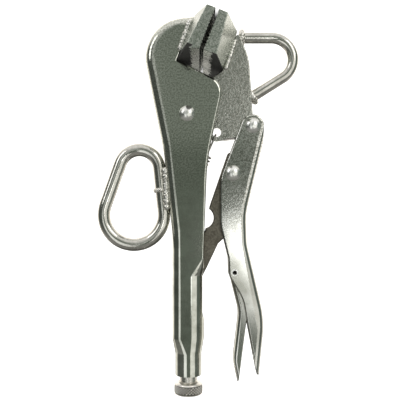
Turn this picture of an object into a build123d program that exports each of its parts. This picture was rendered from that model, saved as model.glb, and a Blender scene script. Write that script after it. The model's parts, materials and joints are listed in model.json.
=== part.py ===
from build123d import *
import os
from math import cos, pi, radians, sin

os.makedirs("parts", exist_ok=True)

# Locking pliers with two pull rings, in millimetres and degrees, drawn locked.
# The origin is the middle of the mouth. X points to the lever, Y along the handle
# towards the jaws, and Z along the rivets. Everything is even about the plane Z = 0.

# Pressed sheet and running clearances
channel_width = 12.0
handle_sheet = 3.0
lever_sheet = 2.5
release_sheet = 1.6
handle_bend = 5.5
lever_bend = 4.0
release_bend = 2.6
side_play = 0.25
pin_play = 0.06

# Mouth and jaw pads
mouth_lean = 21.5
mouth_gap = 2.1
pad_length = 25.0
pad_width = 79.0
pad_thickness = 13.0
pad_tip_thickness = 5.4
pad_heel_thickness = 8.2
pad_heel_drop = 5.0
tooth_pitch = 2.0
tooth_depth = 0.7
pad_bead = 2.4
bead_share = 0.85

# Pivots
jaw_pivot = Vector(-13.4, -44.2)
lever_pivot = Vector(27.2, -51.5)
link_pivot = Vector(14.9, -81.0)
release_pivot = Vector(16.1, -142.5)
rivet_radius = 3.4
rivet_head_radius = 4.8
rivet_head_height = 2.5
release_pin_radius = 2.2
pin_dimple = 1.2

# Fixed handle
head_corner = Vector(-44.3, 12.5)
head_round = 25.0
throat_corner = Vector(9.4, -25.4)
throat_round = 11.0
waist_corner = Vector(-0.9, -72.5)
back_corner = Vector(-27.9, -68.0)
back_round = 150.0
screw_x = -12.7
tube_width = 19.8
tube_top = -134.0
tube_blend = 15.0
wrap_round = 8.6
wrap_start_round = 1.2
wrap_length = 11.0
swage_top = -183.5
swage_bottom = -193.5
tube_end = -207.2
tube_end_diameter = 16.4
tube_end_flat = 0.7
pocket_round = 3.6
seam_width = 0.8
seam_lip = 0.6

# Moving jaw
nose_reach = 0.9
forged_edge = 0.8
nose_round = 1.5
jaw_back_corner = Vector(25.2, -10.0)
jaw_back_round = 35.0
jaw_root_x = 27.9
jaw_throat_corner = Vector(1.5, -22.0)
jaw_throat_round = 8.0
jaw_boss_radius = 11.0
jaw_lug_radius = 6.2
lobe_radius = 5.6
lobe_thickness = 2.8

# Lever
lever_lug_radius = 7.0
lever_lug_turn = 161.5
lever_spine_top = Vector(33.9, -62.6)
lever_spine_bends = [(34.7, -172.0, 60.0), (23.9, -125.0, 40.0), (23.3, -105.5, 45.0)]
lever_edge_upper = [(7.2, -84.5, 30.0), (7.2, -113.0, 30.0)]
lever_edge_lower = [(12.2, -134.0, 12.0), (12.5, -144.5, 5.0), (21.0, -158.5, 25.0)]
lever_tip = Vector(31.2, -207.0)
lever_tip_round = 7.0
lever_tip_lip = Vector(-1.2, 0.6)

# Release lever
release_width = 11.0
release_top = Vector(12.4, -125.5)
release_top_width = 4.0
release_spine_bends = [(13.0, -144.5, 6.0), (18.6, -167.0, 25.0), (15.0, -197.5, 30.0)]
release_edge = [(23.9, -170.0, 18.0), (21.5, -141.0, 6.0)]
release_tip = Vector(17.9, -211.4)
release_tip_round = 4.5
release_tip_lip = Vector(0.9, 1.2)

# Toggle link
link_thickness = 8.0
link_hub_radius = 7.0
link_tail_y = -152.2
link_tail_radius = 4.5
link_tail_turn = 30.0
link_top = [(17.5, -69.0, 3.0), (12.2, -67.6, 2.0)]
link_left = [(0.6, -101.5, 1.0), (-2.0, -116.0, 3.0)]
link_right = [(-1.0, -139.4, 0.0), (6.0, -124.6, 3.0), (9.6, -121.5, 2.0)]
link_hub_corner = Vector(21.9, -84.0)
link_hub_round = 6.0
scallop_centre = Vector(-3.6, -108.8)
scallop_radius = 6.8
slot_play = 0.7
slot_end = -168.0

# Adjusting screw
screw_radius = 5.4
tail_gap = 1.9
screw_tip_round = 2.0
knob_radius = 9.1
knob_length = 8.2
knob_gap = 4.2
knob_chamfer = 0.9

# Return spring
spring_hole = Vector(5.1, -55.1)
spring_hole_radius = 2.8
spring_wire = 1.2
spring_radius = 2.7
spring_turns = 14
steps_per_turn = 10
spring_top_leg = 10.5
spring_bottom_leg = 8.4
tab_y = -105.5
tab_reach = 7.5
tab_width = 2.8

# Pull rings and weld beads
handle_rod = 8.0
handle_ring_small = 12.6
handle_ring_large = 18.9
handle_ring_run = 27.7
handle_ring_along = 9.0
rod_gap = 0.1
ring_bead = 2.8
ring_bead_rise = 3.6
seam_bead_width = 4.6
seam_bead_rise = 1.2
seam_bead_chamfer = 1.1
jaw_rod = 6.9
jaw_ring_centre = Vector(39.6, -9.1)
jaw_ring_radius = 13.5
jaw_ring_lean = 32.0
jaw_ring_upper_leg = 20.2
jaw_ring_lower_leg = 24.0
collar_bead = 2.2
collar_height = 2.8
collar_edge = 0.3

# Sizes that follow from the ones above
handle_width = channel_width + 2 * handle_sheet
lever_width = channel_width + 2 * lever_sheet
core_width = channel_width - 2 * side_play
seat = mouth_gap / 2 + pad_thickness
link_tail = Vector(screw_x, link_tail_y)
screw_tip = link_tail_y - link_tail_radius - tail_gap
knob_top = tube_end - knob_gap
tube_left = screw_x - tube_width / 2
tube_right = screw_x + tube_width / 2
tube_corner = Vector(tube_left, tube_top + tube_blend)
hook_inside = spring_radius - spring_wire / 2 - rod_gap
lean = Rot(0, 0, -mouth_lean)

# Reach of the cutting blocks, and how far a cut starts outside a face
far = 80.0
overcut = 1.0


def mouth_point(across, along):
    """A point of the mouth's own axes: across towards the moving jaw, along towards the tip."""
    return Vector(across, along).rotate(Axis.Z, -mouth_lean)


def corner(point, rounding=0.0):
    return (point.X, point.Y, rounding)


def flat_outline(*corners):
    """A face with the given (x, y, rounding) corners."""
    points = [(x, y) for x, y, _ in corners]
    rounding = [r for _, _, r in corners]
    return make_face(FilletPolyline(*points, radius=rounding, close=True))


def slab(face, thickness):
    return extrude(face, amount=thickness / 2, both=True)


def soft_edges(solid, thickness, rounding):
    """Rounds the outline edges of a slab's two faces."""
    edges = [e for e in solid.edges() if abs(abs((e @ 0.5).Z) - thickness / 2) < 0.01]
    return fillet(edges, rounding)


def across_handle(y):
    """A plane across the handle, centred on the screw, facing down the handle."""
    return Plane((screw_x, y, 0), x_dir=(1, 0, 0), z_dir=(0, -1, 0))


def along_z(point, radius, length):
    return Pos(point.X, point.Y, 0) * Cylinder(radius, length)


def inset(corners, depth):
    """An open line of (x, y, rounding) corners, moved to its left by depth."""
    points = [Vector(x, y) for x, y, _ in corners]
    steps = [(b - a).normalized() for a, b in zip(points, points[1:])]
    lefts = [Vector(-d.Y, d.X) * depth for d in steps]
    moved = [corner(points[0] + lefts[0])]
    for i in range(1, len(steps)):
        turn = steps[i - 1].cross(steps[i]).Z
        bend = (lefts[i] - lefts[i - 1]).dot(steps[i]) / turn
        rounding = corners[i][2]
        if rounding > 0:
            rounding = rounding - depth if turn > 0 else rounding + depth
        moved.append(corner(points[i] + lefts[i - 1] + steps[i - 1] * bend, rounding))
    moved.append(corner(points[-1] + lefts[-1]))
    return moved


def channel(outline, spine, open_side, inner_width, sheet, bend):
    """A pressed channel: two plates of the outline, joined along the spine by a rounded web."""

    def bent(solid, line, height, radius):
        edges = ShapeList()
        for edge in solid.edges():
            middle = edge @ 0.5
            level = abs(abs(middle.Z) - height) < 0.01
            if level and line.distance_to(Vector(middle.X, middle.Y)) < 0.01:
                edges.append(edge)
        return fillet(edges, radius)

    def line_of(corners):
        points = [(x, y) for x, y, _ in corners]
        rounding = [r for _, _, r in corners[1:-1]]
        return FilletPolyline(*points, radius=rounding)

    outer_width = inner_width + 2 * sheet
    outer = bent(slab(outline, outer_width), line_of(spine), outer_width / 2, bend)
    inner_spine = inset(spine, sheet)
    hollow = slab(flat_outline(*inner_spine, *open_side), inner_width)
    hollow = bent(hollow, line_of(inner_spine), inner_width / 2, bend - sheet)
    return outer - hollow


def handle_spine():
    return [
        corner(mouth_point(-seat, pad_length / 2)),
        corner(head_corner, head_round),
        corner(back_corner, back_round),
        corner(tube_corner, back_round),
        (tube_left, tube_top, 0.0),
    ]


def tube_half(width, height, rounding, side):
    """Half of the tube's section: on the spine's side (-1) or where the plates' edges roll (1)."""
    return flat_outline(
        (0, -height / 2, 0.0),
        (side * width / 2, -height / 2, rounding),
        (side * width / 2, height / 2, rounding),
        (0, height / 2, 0.0),
    )


def make_tube_half(side, top_round, rounding):
    """Half of the solid tube, from the channel down: rolled, then straight, then swaged narrow."""
    end_round = tube_end_diameter / 2 - tube_end_flat
    wrap_end = tube_top - wrap_length
    top = tube_half(tube_width, handle_width, top_round, side)
    wide = tube_half(tube_width, handle_width, rounding, side)
    narrow = tube_half(tube_end_diameter, tube_end_diameter, end_round, side)
    tube = loft([across_handle(tube_top) * top, across_handle(wrap_end) * wide])
    tube += extrude(across_handle(wrap_end) * wide, amount=wrap_end - swage_top)
    tube += loft([across_handle(swage_top) * wide, across_handle(swage_bottom) * narrow])
    return tube + extrude(across_handle(swage_bottom) * narrow, amount=swage_bottom - tube_end)


def make_fixed_handle():
    # Head and channel: the plates end in the mouth seat, the throat and the waist.
    spine = handle_spine()
    plate = flat_outline(
        corner(mouth_point(-seat, -pad_length / 2 - pad_heel_drop)),
        corner(throat_corner, throat_round),
        corner(waist_corner, back_round),
        (tube_right - seam_lip, tube_top, 0.0),
        *reversed(spine),
    )
    open_side = [(far, tube_top, 0.0), (far, far, 0.0), corner(mouth_point(0, far / 2))]
    body = channel(plate, spine, open_side, channel_width, handle_sheet, handle_bend)

    # Tube: the free edges of the plates roll together, and the end is swaged down for the screw.
    body += make_tube_half(-1, handle_bend, handle_bend)
    body += make_tube_half(1, wrap_start_round, wrap_round)
    pocket = RectangleRounded(tube_width - 2 * handle_sheet, channel_width, pocket_round)
    body -= extrude(across_handle(tube_top) * pocket, amount=tube_top - swage_top)
    bore = Circle(screw_radius + pin_play)
    body -= extrude(across_handle(swage_top) * bore, amount=swage_top - tube_end)

    # Slot for the link, and the seam below it where the wrapped edges meet.
    slot_width = link_thickness + 2 * slot_play
    side = Plane((screw_x, 0, 0), x_dir=(0, 1, 0), z_dir=(1, 0, 0))
    slot = Pos((tube_top + slot_end) / 2, 0) * SlotOverall(
        tube_top - slot_end + slot_width, slot_width
    )
    body -= extrude(side * slot, amount=tube_width)
    seam = Pos((slot_end + tube_end) / 2, 0) * Rectangle(slot_end - tube_end, seam_width)
    body -= extrude(side * seam, amount=tube_width)
    body -= along_z(jaw_pivot, rivet_radius + pin_play, handle_width)

    # Spring tab, lanced out of the spine and bent into the channel.
    root = spine_x(tab_y)
    window = 2 * (spring_radius + spring_wire)
    body -= Pos(root, tab_y - tab_reach / 2, 0) * Box(2 * handle_sheet, tab_reach, window)
    tongue = Pos(root + handle_sheet + tab_reach / 2, tab_y, 0)
    tab = tongue * Box(tab_reach + handle_sheet, handle_sheet, tab_width)
    return body + tab


def spine_x(y):
    """The spine's outer face at a height between the back corner and the tube."""
    share = (y - back_corner.Y) / (tube_corner.Y - back_corner.Y)
    return back_corner.X + share * (tube_corner.X - back_corner.X)


def make_pad(heel_drop):
    """A jaw pad on the moving side of the mouth: a block with two tapered wings and a toothed face."""

    def section(back_tip, back_heel, z):
        face = mouth_gap / 2
        drop = heel_drop * back_heel / pad_thickness
        points = [
            (face, -pad_length / 2),
            (face + back_heel, -pad_length / 2 - drop),
            (face + back_tip, pad_length / 2),
            (face, pad_length / 2),
        ]
        return Pos(0, 0, z) * make_face(Polyline(*points, close=True))

    root = section(pad_thickness, pad_thickness, handle_width / 2)
    end = section(pad_tip_thickness, pad_heel_thickness, pad_width / 2)
    wing = loft([root, end], ruled=True)
    pad = extrude(root, amount=-handle_width) + wing + mirror(wing, Plane.XY)
    count = int(pad_length / tooth_pitch) - 1
    face = mouth_gap / 2
    valley = [(face, -tooth_pitch / 2), (face + tooth_depth, 0), (face, tooth_pitch / 2)]
    groove = make_face(Polyline(*valley, close=True))
    for i in range(count):
        along = (i - (count - 1) / 2) * tooth_pitch
        pad -= slab(Pos(0, along, 0) * groove, pad_width + 2 * overcut)
    return pad


def make_moving_jaw():
    arm = flat_outline(
        corner(mouth_point(seat, -pad_length / 2)),
        corner(mouth_point(seat, pad_length / 2 - 2 * nose_round)),
        corner(mouth_point(seat + nose_reach, pad_length / 2 + nose_reach), nose_round),
        corner(jaw_back_corner, jaw_back_round),
        (jaw_root_x, lever_pivot.Y, 0.0),
        corner(jaw_pivot),
        corner(jaw_throat_corner, jaw_throat_round),
    )
    root = make_hull(
        [
            *(Pos(jaw_pivot) * Circle(jaw_boss_radius)).edges(),
            *(Pos(lever_pivot) * Circle(jaw_lug_radius)).edges(),
            *(Pos(spring_hole) * Circle(lobe_radius)).edges(),
        ]
    )
    jaw = soft_edges(slab(arm + root, core_width), core_width, forged_edge)
    # The spring lobe is coined thin on both faces, so that the hook can pass round it.
    relief = along_z(spring_hole, lobe_radius + spring_wire, core_width)
    relief -= along_z(spring_hole, lobe_radius + spring_wire, lobe_thickness)
    jaw -= relief
    jaw -= along_z(spring_hole, spring_hole_radius, core_width)
    jaw -= along_z(jaw_pivot, rivet_radius + pin_play, core_width)
    jaw -= along_z(lever_pivot, rivet_radius + pin_play, core_width)
    return jaw


def make_lever():
    spine = [corner(lever_tip), *lever_spine_bends, corner(lever_spine_top)]
    lug = Vector(lever_lug_radius, 0)
    plate = flat_outline(
        *spine,
        corner(lever_pivot + lug),
        corner(lever_pivot + lug.rotate(Axis.Z, lever_lug_turn)),
        *lever_edge_upper,
        *lever_edge_lower,
        corner(lever_tip + lever_tip_lip),
    )
    plate += Pos(lever_pivot) * Circle(lever_lug_radius)
    open_side = [
        (far, lever_spine_top.Y, 0.0),
        (far, far, 0.0),
        (-far, far, 0.0),
        (-far, lever_tip.Y - overcut, 0.0),
    ]
    lever = channel(plate, spine, open_side, channel_width, lever_sheet, lever_bend)
    lever &= rounded_end(lever_tip.Y, lever_width, lever_tip_round)
    lever -= along_z(lever_pivot, rivet_radius + pin_play, lever_width)
    lever -= along_z(link_pivot, rivet_radius + pin_play, lever_width)
    lever -= along_z(release_pivot, release_pin_radius + pin_play, lever_width)
    return lever


def rounded_end(low_y, width, rounding):
    """A tall block whose lower end is rounded, seen from the side."""
    outline = flat_outline(
        (low_y, -width / 2, rounding),
        (low_y, width / 2, rounding),
        (far, width / 2, 0.0),
        (far, -width / 2, 0.0),
    )
    side = Plane((0, 0, 0), x_dir=(0, 1, 0), z_dir=(1, 0, 0))
    return extrude(side * outline, amount=far, both=True)


def make_release_lever():
    spine = [corner(release_top), *release_spine_bends, corner(release_tip)]
    plate = flat_outline(
        *spine,
        corner(release_tip + release_tip_lip),
        *release_edge,
        corner(release_top + Vector(release_top_width, 0), release_sheet),
    )
    open_side = [
        (far, release_tip.Y - overcut, 0.0),
        (far, release_top.Y + overcut, 0.0),
    ]
    inner_width = release_width - 2 * release_sheet
    lever = channel(plate, spine, open_side, inner_width, release_sheet, release_bend)
    lever &= rounded_end(release_tip.Y, release_width, release_tip_round)
    return lever - along_z(release_pivot, release_pin_radius + pin_play, release_width)


def make_link():
    tail = Vector(link_tail_radius, 0).rotate(Axis.Z, -link_tail_turn)
    body = flat_outline(
        *link_top,
        *link_left,
        corner(link_tail - tail),
        corner(link_tail + tail),
        *link_right,
        corner(link_hub_corner, link_hub_round),
    )
    body += Pos(link_tail) * Circle(link_tail_radius)
    body -= Pos(scallop_centre) * Circle(scallop_radius)
    link = soft_edges(slab(body, link_thickness), link_thickness, forged_edge)
    link += along_z(link_pivot, link_hub_radius, core_width)
    return link - along_z(link_pivot, rivet_radius + pin_play, core_width)


def make_rivet(centre, grip):
    """A rivet with a domed head on each end."""
    dome_radius = (rivet_head_radius**2 + rivet_head_height**2) / (2 * rivet_head_height)
    dome = Pos(0, 0, grip / 2 + rivet_head_height - dome_radius) * Sphere(dome_radius)
    keep = Pos(0, 0, grip / 2 + rivet_head_height / 2)
    head = dome & (keep * Cylinder(rivet_head_radius, rivet_head_height))
    rivet = Cylinder(rivet_radius, grip) + head + mirror(head, Plane.XY)
    return Pos(centre) * rivet


def make_release_pin():
    """A flush pin with a punch dimple in each end."""
    pin = Cylinder(release_pin_radius, lever_width)
    dimple = Pos(0, 0, lever_width / 2 - pin_dimple / 2) * Cone(0, pin_dimple, pin_dimple)
    return Pos(release_pivot) * (pin - dimple - mirror(dimple, Plane.XY))


def make_screw():
    length = screw_tip - knob_top + knob_length - knob_chamfer
    shank = extrude(across_handle(screw_tip) * Circle(screw_radius), amount=length)
    tip = shank.edges().sort_by(Axis.Y)[-1]
    return chamfer(tip, screw_tip_round)


def make_knob():
    knob = extrude(across_handle(knob_top) * Circle(knob_radius), amount=knob_length)
    knob = chamfer(knob.edges(), knob_chamfer)
    bore = Circle(screw_radius + pin_play)
    return knob - extrude(across_handle(knob_top) * bore, amount=knob_length)


def hook_seat(thickness):
    """How far a hook's lowest wire lies below the edge of the sheet that it hooks over."""
    return spring_radius - (hook_inside**2 - (thickness / 2) ** 2) ** 0.5


def make_spring():
    """A tension spring of one wire: a coil between two long hooks, drawn on its own axis."""
    tab_edge = Vector(spine_x(tab_y) + handle_sheet + tab_reach / 2, tab_y - handle_sheet / 2)
    bottom = tab_edge - Vector(0, hook_seat(tab_width))
    axis = (bottom - spring_hole).normalized()
    top = spring_hole + axis * (spring_hole_radius - hook_seat(lobe_thickness))
    reach = (bottom - top).length
    coil_start = spring_radius + spring_top_leg
    coil_length = reach - coil_start - spring_radius - spring_bottom_leg

    def at(turn, height):
        return (spring_radius * cos(2 * pi * turn), spring_radius * sin(2 * pi * turn), height)

    steps = spring_turns * steps_per_turn
    coil = [at(i / steps_per_turn, coil_start + coil_length * i / steps) for i in range(steps + 1)]
    hook = []
    for i in range(steps_per_turn + 1):
        x, z, _ = at(0.5 + i / steps_per_turn / 2, 0)
        hook.append((x, 0, spring_radius + z))
    lower_hook = [(x, 0, reach - z) for x, _, z in reversed(hook)]
    wire = Polyline(*hook, *coil, *lower_hook)
    section = Plane(wire @ 0, z_dir=wire % 0) * RegularPolygon(spring_wire / 2, 6)
    spring = sweep(section, path=wire, transition=Transition.RIGHT)
    return Plane(top, x_dir=(0, 0, 1), z_dir=axis).location * spring


def ring_place():
    """The start, the direction and the outward side of the run that lies along the spine."""
    run = (tube_corner - back_corner).normalized()
    out = Vector(run.Y, -run.X)
    start = back_corner + run * handle_ring_along + out * (handle_rod / 2 + rod_gap)
    return start, run, out


def make_handle_ring():
    start, run, out = ring_place()
    end = start + run * handle_ring_run
    small = start + out * handle_ring_small
    large = end + out * handle_ring_large
    between = large - small
    grow = (handle_ring_large - handle_ring_small) / between.length
    along = between.normalized()
    lift = Vector(along.Y, -along.X)
    side = lift * (1 - grow**2) ** 0.5 - along * grow
    path = Line(start, end)
    path += ThreePointArc(end, large + along * handle_ring_large, large + side * handle_ring_large)
    path += Line(large + side * handle_ring_large, small + side * handle_ring_small)
    path += ThreePointArc(small + side * handle_ring_small, small - along * handle_ring_small, start)
    return sweep(Plane(start, z_dir=run) * Circle(handle_rod / 2), path=path)


def make_handle_ring_welds(ring, handle):
    start, run, out = ring_place()
    touch = start - out * (handle_rod / 2)
    beads = []
    for z in (-ring_bead_rise, ring_bead_rise):
        place = Plane(touch + Vector(0, 0, z), z_dir=run)
        beads.append(extrude(place * Circle(ring_bead), amount=handle_ring_run))
    return Compound(children=[bead - ring - handle for bead in beads])


def make_handle_ring_seam(ring, handle, welds):
    start, run, _ = ring_place()
    middle = Plane(start + run * (handle_ring_run / 2), z_dir=run)
    bead = Cylinder(handle_rod / 2 + seam_bead_rise, seam_bead_width)
    bead = chamfer(bead.edges(), seam_bead_chamfer)
    bead = middle.location * bead - ring - handle - welds
    return bead.solids().sort_by(SortBy.VOLUME)[-1]


def jaw_ring_feet():
    """Each leg's foot and the way that it points into the jaw."""
    upper_way = Vector(-1, 0)
    lower_way = Vector(-cos(radians(jaw_ring_lean)), -sin(radians(jaw_ring_lean)))
    upper_bend = jaw_ring_centre + Vector(0, jaw_ring_radius)
    lower_bend = jaw_ring_centre + Vector(-lower_way.Y, lower_way.X) * jaw_ring_radius
    upper_foot = upper_bend + upper_way * jaw_ring_upper_leg
    lower_foot = lower_bend + lower_way * jaw_ring_lower_leg
    return (upper_foot, upper_bend, upper_way), (lower_foot, lower_bend, lower_way)


def make_jaw_ring(jaw):
    (upper_foot, upper_bend, upper_way), (lower_foot, lower_bend, _) = jaw_ring_feet()
    path = Line(upper_foot, upper_bend)
    path += ThreePointArc(upper_bend, jaw_ring_centre + Vector(jaw_ring_radius, 0), lower_bend)
    path += Line(lower_bend, lower_foot)
    ring = sweep(Plane(upper_foot, z_dir=-upper_way) * Circle(jaw_rod / 2), path=path)
    return ring - jaw


def make_jaw_ring_welds(ring, jaw, pad):
    """A sloping weld collar round each foot, rooted in the jaw's back and flush with its nose."""
    rod = jaw_rod / 2
    wide = rod + collar_bead
    half = [(0, -wide), (wide, -wide), (wide, 0), (rod + collar_edge, collar_height), (0, collar_height)]
    collar = revolve(Plane.XZ * make_face(Polyline(*half, close=True)), Axis.Z)
    above_nose = lean * Pos(0, pad_length / 2 + nose_reach + far / 2, 0) * Box(far, far, far)
    places = [Plane(foot, z_dir=-way).location for foot, _, way in jaw_ring_feet()]
    return Compound(children=[place * collar - above_nose - ring - jaw - pad for place in places])


def make_pad_welds(side, plate_width, pad, carrier):
    """Fillet beads in the two corners between a pad's back and the plate faces that carry it."""
    beads = []
    for z in (-plate_width / 2, plate_width / 2):
        heel = mouth_point(side * seat, -pad_length / 2) + Vector(0, 0, z)
        place = Plane(heel, z_dir=mouth_point(0, 1))
        beads.append(extrude(place * Circle(pad_bead), amount=pad_length * bead_share))
    return Compound(children=[bead - pad - carrier for bead in beads])


pieces = {}
pieces["fixed_handle"] = make_fixed_handle()
pieces["fixed_jaw_pad"] = lean * mirror(make_pad(pad_heel_drop), Plane.YZ)
pieces["fixed_pad_welds"] = make_pad_welds(
    -1, handle_width, pieces["fixed_jaw_pad"], pieces["fixed_handle"]
)
pieces["jaw_pivot_rivet"] = make_rivet(jaw_pivot, handle_width)
pieces["handle_ring"] = make_handle_ring()
pieces["handle_ring_welds"] = make_handle_ring_welds(pieces["handle_ring"], pieces["fixed_handle"])
pieces["handle_ring_seam"] = make_handle_ring_seam(
    pieces["handle_ring"], pieces["fixed_handle"], pieces["handle_ring_welds"]
)
pieces["return_spring"] = make_spring()
pieces["moving_jaw"] = make_moving_jaw()
pieces["moving_jaw_pad"] = lean * make_pad(0.0)
pieces["moving_pad_welds"] = make_pad_welds(
    1, core_width, pieces["moving_jaw_pad"], pieces["moving_jaw"]
)
pieces["jaw_ring"] = make_jaw_ring(pieces["moving_jaw"])
pieces["jaw_ring_welds"] = make_jaw_ring_welds(
    pieces["jaw_ring"], pieces["moving_jaw"], pieces["moving_jaw_pad"]
)
pieces["lever_pivot_rivet"] = make_rivet(lever_pivot, lever_width)
pieces["lever_handle"] = make_lever()
pieces["link_pivot_rivet"] = make_rivet(link_pivot, lever_width)
pieces["release_pin"] = make_release_pin()
pieces["toggle_link"] = make_link()
pieces["release_lever"] = make_release_lever()
pieces["adjusting_screw"] = make_screw()
pieces["adjusting_knob"] = make_knob()

for name, piece in pieces.items():
    export_step(piece, f"parts/{name}.step")
    print(name, round(piece.volume), "cubic mm")
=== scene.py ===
# %% [markdown]
# # Locking pliers with two pull rings
# A pair of over-centre locking pliers, all of it nickel-plated steel: a pressed handle that
# wraps into a tube, a forged jaw, a pressed lever, two wide gripping pads and two welded pull
# rings. The frame holds the true solids in metres. This lesson dresses them: it rounds the
# edges that catch the light, adds what is too fine for solids, and gives each finish its nodes.

# %% The frame
import json
import math

import bmesh
import bpy
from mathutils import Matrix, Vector


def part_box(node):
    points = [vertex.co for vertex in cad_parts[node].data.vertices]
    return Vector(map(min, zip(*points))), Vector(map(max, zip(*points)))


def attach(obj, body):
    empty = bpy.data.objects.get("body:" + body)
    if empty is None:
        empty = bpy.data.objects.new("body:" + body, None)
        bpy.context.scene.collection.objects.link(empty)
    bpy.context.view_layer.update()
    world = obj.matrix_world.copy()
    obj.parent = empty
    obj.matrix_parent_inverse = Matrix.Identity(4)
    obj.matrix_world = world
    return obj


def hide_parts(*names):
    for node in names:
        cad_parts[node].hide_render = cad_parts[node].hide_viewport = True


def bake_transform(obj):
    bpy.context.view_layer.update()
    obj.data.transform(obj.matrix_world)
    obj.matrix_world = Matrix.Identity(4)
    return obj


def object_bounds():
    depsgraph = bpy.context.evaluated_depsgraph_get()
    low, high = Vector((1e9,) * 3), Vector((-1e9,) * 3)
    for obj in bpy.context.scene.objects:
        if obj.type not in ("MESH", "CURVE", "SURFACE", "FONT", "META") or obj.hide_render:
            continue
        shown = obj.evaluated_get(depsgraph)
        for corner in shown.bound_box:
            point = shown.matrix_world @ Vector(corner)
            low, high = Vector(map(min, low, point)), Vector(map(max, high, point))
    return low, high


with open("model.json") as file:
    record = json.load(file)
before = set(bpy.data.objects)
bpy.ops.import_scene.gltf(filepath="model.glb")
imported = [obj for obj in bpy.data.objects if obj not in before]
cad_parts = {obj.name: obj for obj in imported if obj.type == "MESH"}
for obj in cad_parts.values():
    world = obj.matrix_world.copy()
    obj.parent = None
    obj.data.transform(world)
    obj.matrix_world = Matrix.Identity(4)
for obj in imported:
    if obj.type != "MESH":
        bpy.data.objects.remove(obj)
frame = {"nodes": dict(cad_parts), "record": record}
cad_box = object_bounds()
nodes = frame["nodes"]
MM = 0.001

# %% [markdown]
# ## Camera
# The camera looks straight down on the tool's flat side, from near enough that the wide pads
# show their sloping backs. The view is 400 pixels square, and one pixel is 0.63 mm on the
# tool's mid-plane, so the lens could be guessed in millimetres or worked out. Here its angle
# follows from the camera's height and the width that it has to see.

# %% Camera
IMAGE_PIXELS = 400
MM_PER_PIXEL = 0.63
CAMERA_HEIGHT = 406 * MM
VIEW_CENTRE = Vector((-5.4 * MM, -97.6 * MM, 0))

view_width = IMAGE_PIXELS * MM_PER_PIXEL * MM
camera_data = bpy.data.cameras.new("photo_camera")
camera_data.sensor_fit = "HORIZONTAL"
camera_data.angle = 2 * math.atan(view_width / 2 / CAMERA_HEIGHT)
camera = bpy.data.objects.new("photo_camera", camera_data)
camera.location = VIEW_CENTRE + Vector((0, 0, CAMERA_HEIGHT))
bpy.context.collection.objects.link(camera)
bpy.context.scene.camera = camera
bpy.context.scene.view_settings.view_transform = "Standard"
print("camera:", round(math.degrees(camera_data.angle), 1), "degrees wide")

# %% [markdown]
# ## Node helpers
# The room, the finishes and the repeated pieces are all made of nodes. Every node takes the
# same three steps: add it, say what it does, fill its inputs. One helper does all three, and
# an input gets either a plain value or a link from an earlier node's socket. The short helpers
# after it add the nodes that come up most often and hand back their result.

# %% Node helpers
def fill(tree, socket, value):
    """Links a socket to another node's socket, or types a value into it."""
    if isinstance(value, bpy.types.NodeSocket):
        tree.links.new(value, socket)
    else:
        socket.default_value = value


def add_node(tree, kind, inputs=(), **settings):
    """A new node with its settings, and with its inputs filled by name or number."""
    node = tree.nodes.new(kind)
    for name, value in settings.items():
        setattr(node, name, value)
    for key, value in dict(inputs).items():
        fill(tree, node.inputs[key], value)
    return node


def maths(tree, operation, *values):
    return add_node(tree, "ShaderNodeMath", enumerate(values), operation=operation).outputs[0]


def vector_maths(tree, operation, *values):
    node = add_node(tree, "ShaderNodeVectorMath", enumerate(values), operation=operation)
    return node.outputs["Value" if operation in ("DOT_PRODUCT", "LENGTH") else "Vector"]


def ramp(tree, value, start, end, low=0.0, high=1.0, **settings):
    """A number that goes from low to high while the value goes from start to end."""
    inputs = {"Value": value, "From Min": start, "From Max": end, "To Min": low, "To Max": high}
    return add_node(tree, "ShaderNodeMapRange", inputs, **settings).outputs[0]


def colour_mix(tree, share, first, second):
    """The first colour where the share is 0 and the second where it is 1."""
    inputs = {"Factor": share, "A": first, "B": second}
    return add_node(tree, "ShaderNodeMix", inputs, data_type="RGBA").outputs["Result"]


print("node helpers:", ", ".join(f.__name__ for f in (fill, add_node, maths, vector_maths, ramp, colour_mix)))

# %% [markdown]
# ## Floor and backdrop
# The tool stands on its pads' ends on a plain white table. The floor could be lit until it is
# white, but then it would be far brighter than the metal, so it glows a little by itself
# instead, and so does a dome round it that closes the view to the sides. Plated steel mirrors
# what is round it, and a white floor would bleach every bend, so the metal doesn't mirror these
# two. Between the closed pads hardly any light reaches the table, which a floor that glows can't
# show, so a soft dark patch is put into its material there.

# %% Pale material
PALE = (0.9, 0.9, 0.89, 1)
PALE_GLOW = (1, 1, 0.99, 1)
PALE_ROUGHNESS = 0.8
MOUTH_LEAN = math.radians(21.5)
SHADE_COLOUR = (0.02, 0.02, 0.02, 1)
SHADE_PLACE = (0.5 * MM, 12.2 * MM, 0)
# half the oval's width and length, and a height so large that height doesn't count
SHADE_REACH = (11 * MM, 26 * MM, 100)
SHADE_CORE = 0.65


def pale_material(name, glow):
    material = bpy.data.materials.new(name)
    material.use_nodes = True
    shader = material.node_tree.nodes["Principled BSDF"]
    shader.inputs["Base Color"].default_value = PALE
    shader.inputs["Roughness"].default_value = PALE_ROUGHNESS
    shader.inputs["Emission Color"].default_value = PALE_GLOW
    shader.inputs["Emission Strength"].default_value = glow
    return material


def shaded(material, glow):
    """Puts a soft dark oval under the pads, along the mouth."""
    tree = material.node_tree
    shader = tree.nodes["Principled BSDF"]
    where = add_node(tree, "ShaderNodeTexCoord")
    oval = {
        "Vector": where.outputs["Object"], "Location": SHADE_PLACE,
        "Rotation": (0, 0, -MOUTH_LEAN), "Scale": SHADE_REACH,
    }
    laid = add_node(tree, "ShaderNodeMapping", oval, vector_type="TEXTURE")
    away = vector_maths(tree, "LENGTH", laid.outputs[0])
    light = ramp(tree, away, SHADE_CORE, 1.0, high=glow, interpolation_type="SMOOTHSTEP")
    fill(tree, shader.inputs["Emission Strength"], light)
    fill(tree, shader.inputs["Base Color"], colour_mix(tree, light, SHADE_COLOUR, PALE))


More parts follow.
